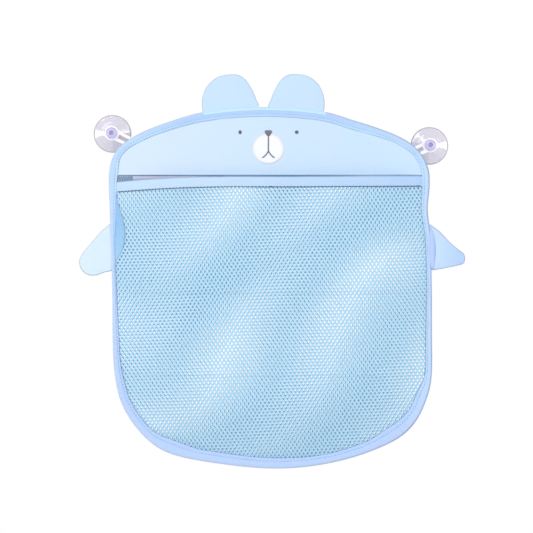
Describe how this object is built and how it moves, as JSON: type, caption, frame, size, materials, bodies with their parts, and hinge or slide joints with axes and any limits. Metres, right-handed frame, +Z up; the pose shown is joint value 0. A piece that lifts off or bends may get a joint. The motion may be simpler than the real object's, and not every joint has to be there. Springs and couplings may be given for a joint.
{
  "type": "bath toy organizer",
  "caption": "Bear-shaped netting pouch for bath toys: bound cloth head above an open net pocket, with ears and arms, hung on a wall by clear suction cups with hooks.",
  "frame": {"origin": "on the wall plane, midway between the centres of the two suction cups", "axes": "+Z up, +Y into the wall, so the pouch hangs on the -Y side and its front faces -Y; +X to the right as seen from the front"},
  "size_m": [0.4039, 0.0465, 0.4137],
  "materials": {
    "cup_plastic": "clear soft plastic, glossy",
    "hook_plastic": "clear hard plastic, glossy",
    "tape": "woven tape, matte",
    "cloth": "plain cloth, matte",
    "netting": "knitted netting, matte",
    "wadding": "white wadding",
    "pale_print": "thin printed film",
    "grey_print": "thin printed film"
  },
  "bodies": {
    "wall_cups": {"left_cup": "cup_plastic", "right_cup": "cup_plastic"},
    "left_hook": {"left_hook": "hook_plastic"},
    "right_hook": {"right_hook": "hook_plastic"},
    "hang_loops": {"left_hang_loop": "tape", "right_hang_loop": "tape"},
    "bag": {"edge_binding": "tape", "head_front": "cloth", "head_padding": "wadding", "head_lining": "cloth", "back_mesh": "netting", "muzzle_print": "pale_print", "nose_print": "grey_print", "mouth_print": "grey_print", "left_eye_print": "grey_print", "right_eye_print": "grey_print"},
    "pocket_front": {"front_mesh": "netting", "mouth_hem": "cloth"},
    "left_ear": {"left_ear_front": "cloth", "left_ear_padding": "wadding", "left_ear_back": "cloth"},
    "right_ear": {"right_ear_front": "cloth", "right_ear_padding": "wadding", "right_ear_back": "cloth"},
    "left_arm": {"left_arm_front": "cloth", "left_arm_padding": "wadding", "left_arm_back": "cloth"},
    "right_arm": {"right_arm_front": "cloth", "right_arm_padding": "wadding", "right_arm_back": "cloth"}
  },
  "joints": [
    {"name": "left_hook_turn", "type": "hinge", "parent": "wall_cups", "child": "left_hook", "pos_m": [-0.16825, -0.0107, 0.0064], "axis": [0, 1, 0], "range_deg": [0, 10]},
    {"name": "right_hook_turn", "type": "hinge", "parent": "wall_cups", "child": "right_hook", "pos_m": [0.16825, -0.0107, -0.0064], "axis": [0, -1, 0], "range_deg": [0, 10]},
    {"name": "lift_off", "type": "slide", "parent": "wall_cups", "child": "hang_loops", "axis": [0, 0, 1], "range_m": [0, 0.02]},
    {"name": "bag_swing", "type": "hinge", "parent": "hang_loops", "child": "bag", "pos_m": [0, -0.023, -0.005], "axis": [-0.999, 0, 0.044], "range_deg": [0, 18]},
    {"name": "pocket_open", "type": "hinge", "parent": "bag", "child": "pocket_front", "pos_m": [0, -0.02615, -0.3352], "axis": [1, 0, 0], "range_deg": [0, 10]},
    {"name": "left_ear_fold", "type": "hinge", "parent": "bag", "child": "left_ear", "pos_m": [-0.0415, -0.02415, 0.0321], "axis": [0.9962, 0, 0.0876], "range_deg": [-38, 60]},
    {"name": "right_ear_fold", "type": "hinge", "parent": "bag", "child": "right_ear", "pos_m": [0.0257, -0.02415, 0.0324], "axis": [0.9966, 0, -0.0824], "range_deg": [-38, 60]},
    {"name": "left_arm_fold", "type": "hinge", "parent": "bag", "child": "left_arm", "pos_m": [-0.1689, -0.02415, -0.1136], "axis": [-0.0319, 0, 0.9995], "range_deg": [-40, 60]},
    {"name": "right_arm_fold", "type": "hinge", "parent": "bag", "child": "right_arm", "pos_m": [0.1691, -0.02415, -0.1135], "axis": [0.0495, 0, -0.9988], "range_deg": [-40, 60]}
  ]
}
